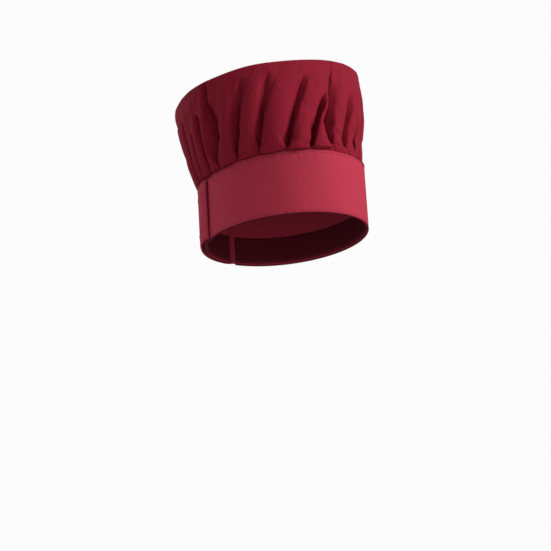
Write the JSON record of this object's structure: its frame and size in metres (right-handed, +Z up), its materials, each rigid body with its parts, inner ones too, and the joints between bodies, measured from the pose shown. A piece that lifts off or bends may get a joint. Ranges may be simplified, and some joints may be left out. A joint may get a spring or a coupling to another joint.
{
  "type": "chef toque",
  "caption": "Chef's toque: a soft gathered crown over a stiff upright band that closes at the back with a hook-and-loop tab.",
  "frame": {"origin": "centre of the head opening, in the plane of the hem", "axes": "+Z up along the band's axis, -Y towards the wearer's forehead, -X towards the wearer's right"},
  "size_m": [0.209, 0.2172, 0.1865],
  "materials": {
    "twill": "matte",
    "thread": "matte",
    "interlining": "matte",
    "sweatband_cotton": "matte",
    "loop_pile": "matte",
    "hook_nylon": "matte",
    "label_satin": "satin"
  },
  "bodies": {
    "hat": {"crown": "twill", "gather_stitching": "thread", "band_outer_ply": "twill", "band_interlining": "interlining", "band_facing": "twill", "band_top_stitching": "thread", "band_hem_stitching": "thread", "bar_tacks": "thread", "sweatband": "sweatband_cotton", "sweatband_stitching": "thread", "care_label": "label_satin", "label_stitching": "thread", "loop_tape": "loop_pile", "loop_tape_stitching": "thread"},
    "closure_tab": {"tab_outer_ply": "twill", "tab_interlining": "interlining", "tab_facing": "twill", "tab_edge_stitching": "thread", "hook_tape": "hook_nylon", "hook_tape_stitching": "thread"}
  },
  "joints": [
    {"name": "closure_tab_fold", "type": "hinge", "parent": "hat", "child": "closure_tab", "pos_m": [0.00803, 0.10002, 0.0355], "axis": [0, 0, -1], "range_deg": [0, 135]}
  ]
}
